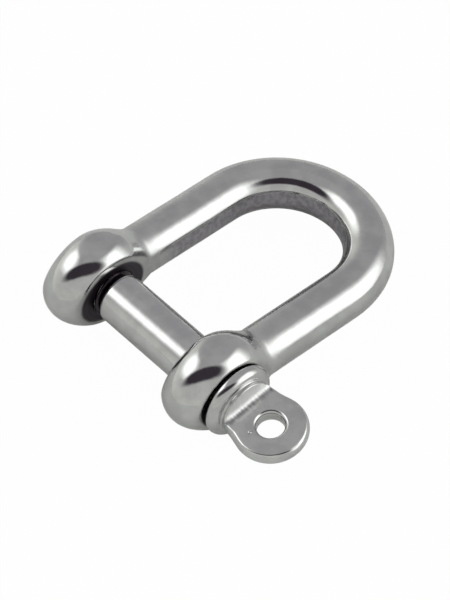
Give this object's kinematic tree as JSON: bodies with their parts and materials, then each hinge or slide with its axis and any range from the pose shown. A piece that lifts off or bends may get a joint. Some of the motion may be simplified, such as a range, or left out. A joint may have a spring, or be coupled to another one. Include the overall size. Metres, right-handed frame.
{
  "type": "d shackle",
  "caption": "D-shaped stainless shackle: a forged round bar with ball ears, closed by a screw pin with a collar and a flat eye.",
  "frame": {"origin": "on the pin's axis, midway between the ears' inner flats", "axes": "+X along the pin towards its eye, +Y from the pin to the crown of the bow, +Z square to the plane of the D"},
  "size_m": [0.0488, 0.0528, 0.0152],
  "materials": {
    "forged_steel": "forged stainless steel, polished bright",
    "pin_steel": "turned and milled stainless steel, polished, with a satin eye"
  },
  "bodies": {
    "bow": {"shackle_body": "forged_steel"},
    "pin_carrier": {"pin_core": "pin_steel"},
    "pin": {"screw_pin": "pin_steel"}
  },
  "joints": [
    {"name": "pin_travel", "type": "slide", "parent": "bow", "child": "pin_carrier", "axis": [1, 0, 0], "range_m": [0, 0.0356]},
    {"name": "pin_turn", "type": "hinge", "parent": "pin_carrier", "child": "pin", "pos_m": [0, 0, 0], "axis": [1, 0, 0], "range_deg": [0, 10260]}
  ],
  "couplings": [
    {"joint": "pin_turn", "follows": "pin_travel", "rad_per_m": 5026.5}
  ]
}
